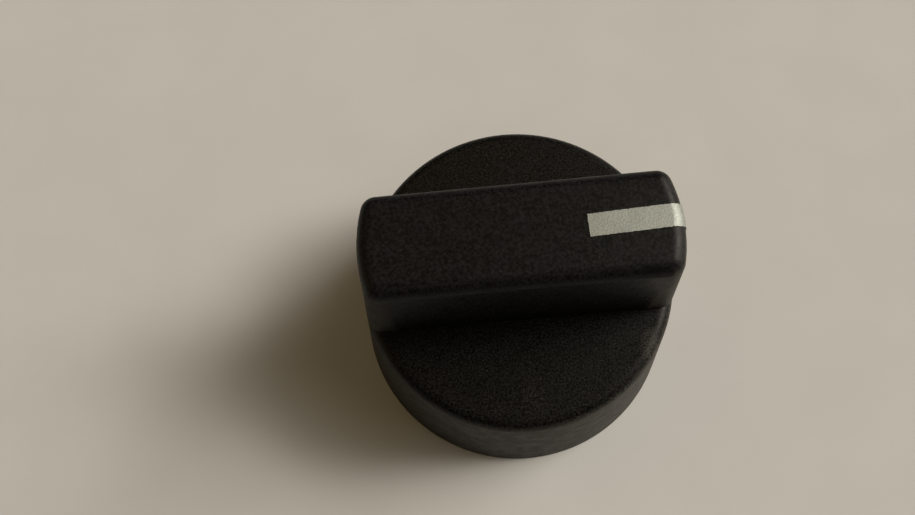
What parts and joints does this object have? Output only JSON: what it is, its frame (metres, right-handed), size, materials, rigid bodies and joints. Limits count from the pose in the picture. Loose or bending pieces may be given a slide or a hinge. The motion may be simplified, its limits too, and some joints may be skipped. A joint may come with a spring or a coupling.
{
  "type": "barbecue control knob",
  "caption": "Round black barbecue control knob with flat shoulders, a raised grip bar, a silver pointer mark and a stem socket underneath.",
  "frame": {"origin": "on the foot of the skirt, on the stem axis", "axes": "+Z away from the panel along the stem axis, +X along the grip bar towards its pointer end"},
  "size_m": [0.045, 0.045, 0.0371],
  "materials": {
    "knob_black": "fine spark-eroded grain",
    "mark_silver": "satin hot-stamped foil",
    "ring_steel": "plain spring steel"
  },
  "bodies": {
    "root": {"knob_body": "knob_black", "indicator_foil": "mark_silver", "hub_ring": "ring_steel"}
  },
  "joints": []
}
